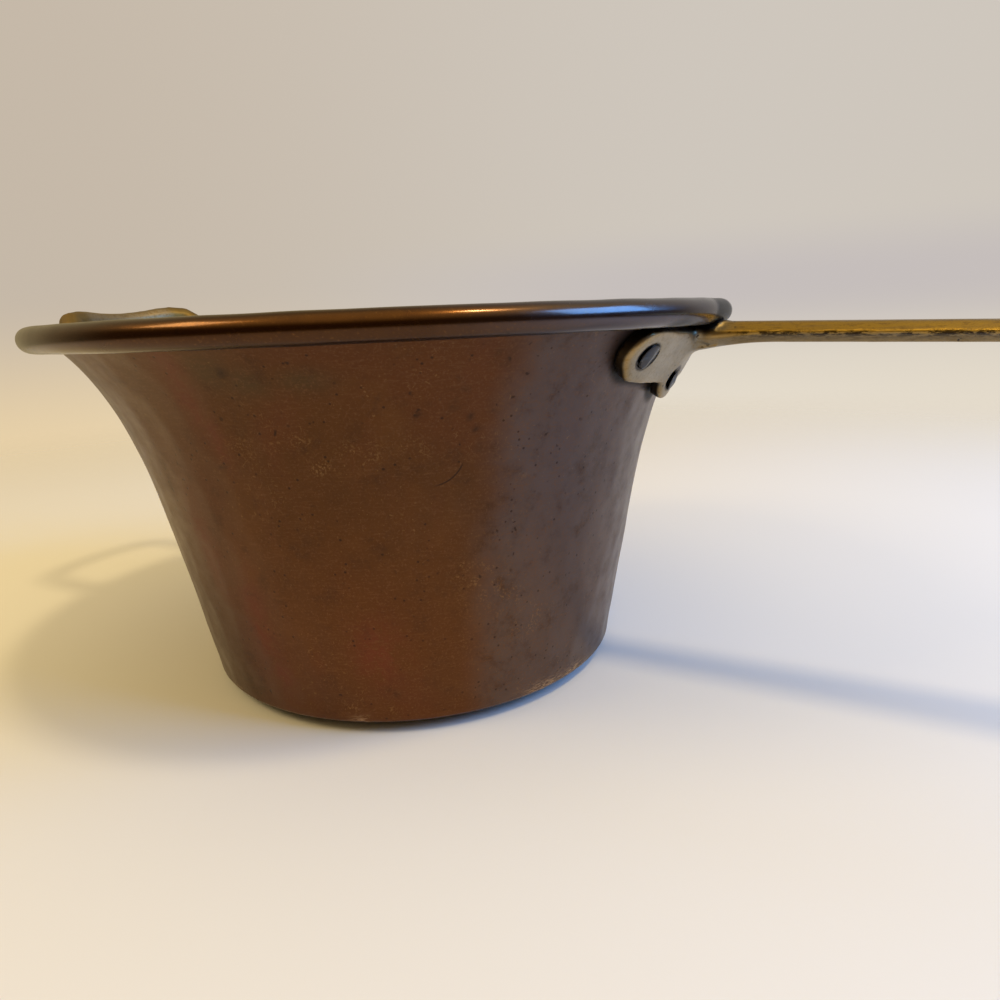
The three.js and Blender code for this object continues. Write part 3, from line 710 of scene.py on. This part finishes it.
def copper_material():
    material, n = new_material("beaten_copper")
    here = n.place()
    upright = n.place((1, 1, 0.25))
    level = n.place((1, 1, 7))
    clouds = n.noise(here, 13, 2)
    patches = n.noise(n.warped(here, 0.02, 30), 38, 3)
    streaks = n.noise(upright, 60, 4)
    mottle = n.noise(here, 110, 6, 0.7)
    dust = n.noise(here, 1500, 3, 0.7)
    hatch = n.noise(level, 240, 4, 0.65)
    colour = n.mix(n.ramp(clouds, 0.38, 0.62), (0.087, 0.031, 0.0095), (0.082, 0.033, 0.0095))
    colour = n.mix(n.ramp(patches, 0.5, 0.68, 0, 0.7), colour, (0.098, 0.039, 0.011))
    colour = n.mix(n.ramp(streaks, 0.5, 0.75, 0, 0.7), colour, (0.094, 0.032, 0.012))
    red = n.math("MULTIPLY", n.attribute("red"), n.ramp(mottle, 0.3, 0.65))
    colour = n.mix(red, colour, (0.118, 0.031, 0.015))
    colour = n.mix(n.math("MULTIPLY", n.attribute("grey"), 0.7), colour, (0.062, 0.040, 0.017))
    # painted reflection of the window: grey-violet over the copper on that side, patchy with the noise
    film = n.mix(n.ramp(mottle, 0.4, 0.7), (0.088, 0.059, 0.051), (0.075, 0.051, 0.045))
    window_reflection_share = n.math("ADD", n.attribute("painted_window_reflection"), n.math("MULTIPLY", n.math("ADD", patches, clouds), 0.7))
    colour = n.mix(n.ramp(window_reflection_share, 0.9, 1.5), colour, film)
    colour = n.mix(n.ramp(mottle, 0.52, 0.74, 0, 0.8), colour, (0.060, 0.026, 0.010))
    colour = n.mix(n.ramp(hatch, 0.5, 0.75, 0, 0.5), colour, (0.120, 0.054, 0.022))
    colour = n.mix(n.ramp(dust, 0.5, 0.72, 0, 0.7), colour, (0.125, 0.056, 0.024))
    lines = n.ramp(n.edges(n.warped(here, 0.003, 220), 420), 0.05, 0.0)
    short = n.ramp(n.noise(here, 640, 1), 0.56, 0.64)
    sparse = n.ramp(n.noise(here, 34, 3), 0.5, 0.64)
    flecks = n.math("MULTIPLY", n.math("MULTIPLY", lines, short), sparse)
    grains = n.ramp(n.noise(here, 1300, 2, 0.6), 0.5, 0.64)
    grains = n.math("MULTIPLY", grains, n.ramp(n.noise(here, 260, 3), 0.42, 0.6))
    worn = n.math("MULTIPLY", n.attribute("worn"), grains)
    nicks = n.math("MULTIPLY", n.attribute("nicked"), n.ramp(n.noise(level, 330, 4, 0.7), 0.46, 0.58))
    speck_spread = n.ramp(patches, 0.42, 0.62, 0.1, 0.7)
    specks = n.math("MULTIPLY", n.ramp(n.noise(here, 1000, 1, 0.5), 0.70, 0.78), speck_spread)
    bare = n.math("MAXIMUM", n.math("MAXIMUM", worn, n.math("MULTIPLY", flecks, 0.7)), specks)
    colour = n.mix(n.math("MULTIPLY", bare, 0.42), colour, (0.25, 0.14, 0.055))
    colour = n.mix(n.math("MULTIPLY", nicks, 0.85), colour, (0.42, 0.29, 0.18))
    pit_spread = n.ramp(n.noise(here, 45, 2), 0.48, 0.62)
    pits = n.math("MULTIPLY", n.ramp(n.cells(n.warped(here, 0.004, 300), 200), 0.15, 0.05), pit_spread)
    dot_spread = n.ramp(n.noise(here, 90, 2), 0.42, 0.56)
    dots = n.math("MULTIPLY", n.ramp(n.cells(here, 330), 0.17, 0.08), dot_spread)
    from_centre = n.measure("DISTANCE", here, on_wall(*SCRATCH_CENTRE))
    from_middle = n.measure("DISTANCE", here, on_wall(*SCRATCH_MIDDLE))
    off_arc = n.math("ABSOLUTE", n.math("SUBTRACT", from_centre, SCRATCH_RADIUS), 0.0)
    scratch = n.math("MULTIPLY", n.ramp(off_arc, 0.35 * MM, 0.1 * MM), n.ramp(from_middle, 6 * MM, 3.5 * MM))
    pits = n.math("MAXIMUM", n.math("MAXIMUM", pits, dots), n.math("MAXIMUM", scratch, n.attribute("dark")))
    colour = n.mix(n.math("MULTIPLY", pits, 0.72), colour, PIT_COLOUR)
    # painted light: lighter copper on the lower front
    painted_front_light = n.mix(n.attribute("painted_front_light"), (1, 1, 1), (1.38, 1.22, 0.95))
    colour = n.multiply(colour, painted_front_light)
    inner = n.mix(n.ramp(mottle, 0.35, 0.7), (0.40, 0.18, 0.09), (0.28, 0.12, 0.06))
    colour = n.mix(n.attribute("inside"), colour, inner)
    colour = n.mix(n.attribute("under"), colour, (0.03, 0.018, 0.012))
    # painted shade with some soiling: near-black on the wall by the handles' feet
    grime_and_shade = n.math("MULTIPLY", n.attribute("grime_and_shade"), n.ramp(mottle, 0.1, 0.4))
    colour = n.mix(grime_and_shade, colour, GRIME_AND_SHADE_COLOUR)
    roughness = n.math("ADD", n.ramp(mottle, 0.3, 0.7, 0.36, 0.46), n.math("MULTIPLY", grime_and_shade, 0.3))
    relief = n.math("SUBTRACT", n.math("MULTIPLY", dust, 0.4), pits)
    film = {"Sheen Weight": 0.03, "Sheen Roughness": 0.5, "Coat Weight": 0.12, "Coat Roughness": 0.25}
    n.finish(colour, roughness, n.bump(relief, 0.08 * MM, 0.3), 1.0, film)
    return material


def bead_material():
    """Copper of the rolled rim, smoother from handling and darker, with painted shade on its lower half and
    near the handles.
    """
    material, n = new_material("rubbed_copper")
    here = n.place()
    mottle = n.noise(here, 110, 6, 0.7)
    dust = n.noise(here, 1300, 3, 0.7)
    colour = n.mix(n.ramp(mottle, 0.4, 0.7), (0.080, 0.030, 0.005), (0.060, 0.021, 0.004))
    # painted shade: the lower half of the roll darker
    colour = n.mix(n.math("MULTIPLY", n.attribute("lower"), 0.6), colour, (0.045, 0.018, 0.006))
    # painted reflection of the window on the roll
    colour = n.mix(n.attribute("painted_window_reflection"), colour, (0.075, 0.058, 0.058))
    colour = n.mix(n.ramp(dust, 0.56, 0.72, 0, 0.5), colour, (0.16, 0.07, 0.02))
    pit_spread = n.ramp(mottle, 0.45, 0.6)
    pits = n.math("MULTIPLY", n.ramp(n.cells(n.warped(here, 0.004, 300), 190), 0.16, 0.05), pit_spread)
    colour = n.mix(n.math("MULTIPLY", pits, 0.7), colour, PIT_COLOUR)
    # painted shade with some soiling: the roll goes near-black by the handles, hiding the brass reflected
    # there
    grime_and_shade = n.math("MULTIPLY", n.attribute("grime_and_shade"), n.ramp(mottle, 0.1, 0.4))
    colour = n.mix(grime_and_shade, colour, GRIME_AND_SHADE_COLOUR)
    roughness = n.math("ADD", n.ramp(mottle, 0.3, 0.7, 0.2, 0.28), n.math("MULTIPLY", grime_and_shade, 0.4))
    relief = n.math("SUBTRACT", n.math("MULTIPLY", dust, 0.3), pits)
    film = {"Coat Weight": 0.3, "Coat Roughness": 0.12}
    n.finish(colour, roughness, n.bump(relief, 0.08 * MM, 0.25), 1.0, film)
    return material


def brass_material(name, bright, dull, smoothest):
    """Cast brass, grey by the wall and of these two tones where hands polish it."""
    material, n = new_material(name)
    here = n.place()
    along = n.place((0.08, 1, 1))
    pitted = n.place((0.4, 1, 1))
    clouds = n.noise(here, 70, 4)
    brushed = n.noise(along, 1100, 3)
    grain = n.noise(here, 2200, 2, 0.6)
    handled = n.ramp(n.length(n.multiply(here, (1, 1, 0))), 113 * MM, 126 * MM)
    cloudy = n.ramp(clouds, 0.35, 0.68)
    oxide = n.mix(cloudy, (0.30, 0.255, 0.18), (0.235, 0.20, 0.14))
    gold = n.mix(cloudy, bright, dull)
    tarnished = n.mix(cloudy, (0.25, 0.17, 0.068), (0.21, 0.145, 0.06))
    colour = n.mix(handled, oxide, n.mix(n.attribute("below"), gold, tarnished))
    colour = n.mix(n.math("MULTIPLY", n.attribute("grip"), 0.8), colour, (0.26, 0.215, 0.15))
    colour = n.mix(n.ramp(brushed, 0.45, 0.8, 0, 0.6), colour, (0.18, 0.115, 0.04))
    speckles = n.ramp(n.noise(pitted, 900, 4, 0.7), 0.52, 0.62, 0, 0.5)
    colour = n.mix(n.math("MULTIPLY", speckles, handled), colour, (0.12, 0.065, 0.012))
    colour = n.mix(n.ramp(grain, 0.5, 0.7, 0, 0.35), colour, (0.12, 0.075, 0.025))
    colour = n.mix(n.math("MULTIPLY", n.attribute("edge"), 0.45), colour, (0.42, 0.25, 0.05))
    pore_spread = n.ramp(clouds, 0.5, 0.62)
    pores = n.math("MULTIPLY", n.ramp(n.cells(n.warped(here, 0.003, 400), 420), 0.24, 0.1), pore_spread)
    blotches = n.ramp(n.noise(pitted, 620, 5, 0.75), 0.45, 0.55)
    seam = n.math("MULTIPLY", n.attribute("seam"), blotches)
    hollow = n.math("MULTIPLY", n.attribute("hollow"), 0.2)
    # painted shade with soiling: near-black where the handle meets the wall, together with pores, hollows and
    # the seam
    dirt_and_shade = n.math("MAXIMUM", n.math("MAXIMUM", n.attribute("grime_and_shade"), pores), n.math("MAXIMUM", hollow, seam))
    colour = n.mix(n.math("MULTIPLY", dirt_and_shade, 0.96), colour, (0.014, 0.008, 0.004))
    roughness = n.ramp(clouds, 0.3, 0.7, smoothest, smoothest + 0.12)
    raised = n.math("MULTIPLY", n.math("ADD", brushed, grain), 0.3)
    relief = n.math("SUBTRACT", raised, n.math("MAXIMUM", pores, seam))
    n.finish(colour, roughness, n.bump(relief, 0.12 * MM, 0.35), 1.0, {"Sheen Weight": 0.03})
    return material


def rivet_material():
    material, n = new_material("darkened_rivet")
    here = n.place()
    clouds = n.noise(here, 300, 4)
    colour = n.mix(n.ramp(clouds, 0.35, 0.7), (0.050, 0.058, 0.072), (0.062, 0.056, 0.055))
    colour = n.mix(n.attribute("rim"), colour, (0.03, 0.025, 0.022))
    roughness = n.ramp(clouds, 0.3, 0.7, 0.26, 0.42)
    n.finish(colour, roughness, n.bump(n.noise(here, 1200, 3), 0.1 * MM, 0.2), 1.0, {})
    return material


def iron_material():
    material, n = new_material("iron_wire")
    here = n.place()
    clouds = n.noise(here, 400, 4)
    colour = n.mix(n.ramp(clouds, 0.4, 0.7), (0.1, 0.095, 0.09), (0.16, 0.08, 0.045))
    n.finish(colour, n.ramp(clouds, 0.3, 0.7, 0.5, 0.75), n.bump(clouds, 0.1 * MM, 0.3), 1.0, {})
    return material


# Stage, lights and camera


def make_floor():
    material, n = new_material("pale_floor")
    far = n.length(n.place())
    paper = n.add("BsdfPrincipled", {"Base Color": (0.8, 0.77, 0.74, 1), "Roughness": 0.6}).outputs["BSDF"]
    clear = n.add("BsdfTransparent", {}).outputs["BSDF"]
    shader = n.add("MixShader", {0: n.ramp(far, 0.32, 0.95), 1: paper, 2: clear}).outputs["Shader"]
    n.add("OutputMaterial", {"Surface": shader})
    mesh = bpy.data.meshes.new("floor")
    half = 2.0
    corners = [(-half, -half, 0), (half, -half, 0), (half, half, 0), (-half, half, 0)]
    mesh.from_pydata(corners, [], [(0, 1, 2, 3)])
    mesh.materials.append(material)
    floor = bpy.data.objects.new("floor", mesh)
    bpy.context.scene.collection.objects.link(floor)


def make_light(name, azimuth, elevation, distance, size, energy, colour):
    """An area light that looks at the pot, with its azimuth and elevation seen from there, in degrees."""
    light = bpy.data.lights.new(name, "AREA")
    light.shape = "RECTANGLE"
    light.size, light.size_y = size
    light.energy = energy
    light.color = colour
    lamp = bpy.data.objects.new(name, light)
    turn = math.radians(azimuth)
    rise = math.radians(elevation)
    toward = Vector((math.cos(rise) * math.cos(turn), math.cos(rise) * math.sin(turn), math.sin(rise)))
    lamp.location = toward * distance + Vector((0, 0, RIM_HEIGHT / 2))
    lamp.rotation_mode = "QUATERNION"
    lamp.rotation_quaternion = (-toward).to_track_quat("-Z", "Y")
    bpy.context.scene.collection.objects.link(lamp)


def make_world():
    """Pale paper behind the pot, with painted warm light on its left and painted shade along its fold, and a
    warm room, darker at eye level, that lights it from all sides.
    """
    world = bpy.data.worlds.new("studio")
    bpy.context.scene.world = world
    world.use_nodes = True
    n = Nodes(world.node_tree)
    toward = n.add("TexCoord", {}).outputs["Generated"]
    turn = Matrix.Rotation(VIEW_AZIMUTH, 3, "Z")
    behind = n.measure("DOT_PRODUCT", toward, turn @ Vector((0, 1, 0)))
    aside = n.measure("DOT_PRODUCT", toward, turn @ Vector((1, 0, 0)))
    upward = n.add("SeparateXYZ", {0: toward}).outputs["Z"]
    room = n.mix(n.ramp(upward, 0.3, 0.9), (0.11, 0.065, 0.028), (1.12, 0.88, 0.42))
    far_side = n.mix(n.ramp(aside, -0.2, 0.5), (0.42, 0.33, 0.17), (0.52, 0.49, 0.46))
    room = n.mix(n.ramp(behind, -0.1, 0.5), room, far_side)
    # painted light: the paper warmer on the left, where the warm lamp falls
    low = n.mix(n.ramp(aside, -0.5, 0.3), (0.80, 0.63, 0.39), (0.78, 0.71, 0.60))
    high = n.mix(n.ramp(aside, -0.5, 0.5), (0.56, 0.48, 0.39), (0.62, 0.57, 0.51))
    paper = n.mix(n.ramp(upward, -0.13, 0.06), low, high)
    # painted shade along the paper's fold
    crease = n.math("MULTIPLY", n.ramp(upward, -0.06, 0.03), n.ramp(upward, 0.12, 0.04))
    paper = n.mix(n.math("MULTIPLY", crease, n.ramp(aside, -0.2, 0.4)), paper, (0.56, 0.515, 0.50))
    seen = n.add("LightPath", {}).outputs["Is Camera Ray"]
    background = n.add("Background", {"Color": n.mix(seen, room, paper), "Strength": 1.0})
    n.add("OutputWorld", {"Surface": background.outputs["Background"]})


def make_camera():
    forward = Vector((
        math.sin(CAMERA_YAW) * math.cos(CAMERA_PITCH),
        math.cos(CAMERA_YAW) * math.cos(CAMERA_PITCH),
        math.sin(CAMERA_PITCH),
    ))
    right = Vector((math.cos(CAMERA_YAW), -math.sin(CAMERA_YAW), 0))
    up = right.cross(forward)
    level = Matrix((right, up, -forward)).transposed()
    turned = (level @ Matrix.Rotation(CAMERA_ROLL, 3, "Z")).to_4x4()
    data = bpy.data.cameras.new("camera")
    data.lens = CAMERA_LENS
    data.sensor_width = SENSOR_WIDTH
    data.clip_start = CAMERA_NEAR
    camera = bpy.data.objects.new("camera", data)
    stand = Matrix.Translation((0, -CAMERA_DISTANCE, CAMERA_HEIGHT)) @ turned
    camera.matrix_world = Matrix.Rotation(VIEW_AZIMUTH, 4, "Z") @ stand
    bpy.context.scene.collection.objects.link(camera)
    bpy.context.scene.camera = camera


make_camera()
make_floor()
make_world()
make_light(
    "lamp", azimuth=-12, elevation=64, distance=2.0, size=(0.2, 0.2),
    energy=12.5, colour=(1.0, 0.80, 0.42),
)
make_light(
    "window", azimuth=12, elevation=30, distance=1.1, size=(0.6, 0.5),
    energy=11.5, colour=(0.14, 0.42, 1.0),
)
make_light(
    "left_lamp", azimuth=-128, elevation=45, distance=1.0, size=(0.3, 0.3),
    energy=2.5, colour=(1.0, 0.78, 0.40),
)

bowl = make_bowl()
bowl.data.materials.append(copper_material())
bowl.data.materials.append(bead_material())
long_handle = cast_piece("brass_long_handle", "long_handle", voxel=0.5 * MM, rounds=8, footed=True)
helper = cast_piece("brass_loop_handle", "helper_handle", voxel=0.6 * MM, rounds=10, footed=False)
bar_brass = brass_material(
    "cast_brass", bright=(0.30, 0.18, 0.016), dull=(0.25, 0.15, 0.018), smoothest=0.36
)
loop_brass = brass_material(
    "dull_brass", bright=(0.15, 0.105, 0.036), dull=(0.125, 0.09, 0.036), smoothest=0.52
)
for piece, brass in ((long_handle, bar_brass), (helper, loop_brass)):
    piece.data.materials.clear()
    piece.data.materials.append(brass)
dark_rivet = rivet_material()
for seed, (node, place) in enumerate(rivet_places().items()):
    head_radius = LOWER_RIVET_RADIUS if node == "long_handle_rivet_lower" else RIVET_RADIUS
    make_rivet(node, place, head_radius, seed).data.materials.append(dark_rivet)
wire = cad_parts["rim_wire"]
wire.data.materials.clear()
wire.data.materials.append(iron_material())

bpy.context.scene.view_settings.view_transform = "Standard"
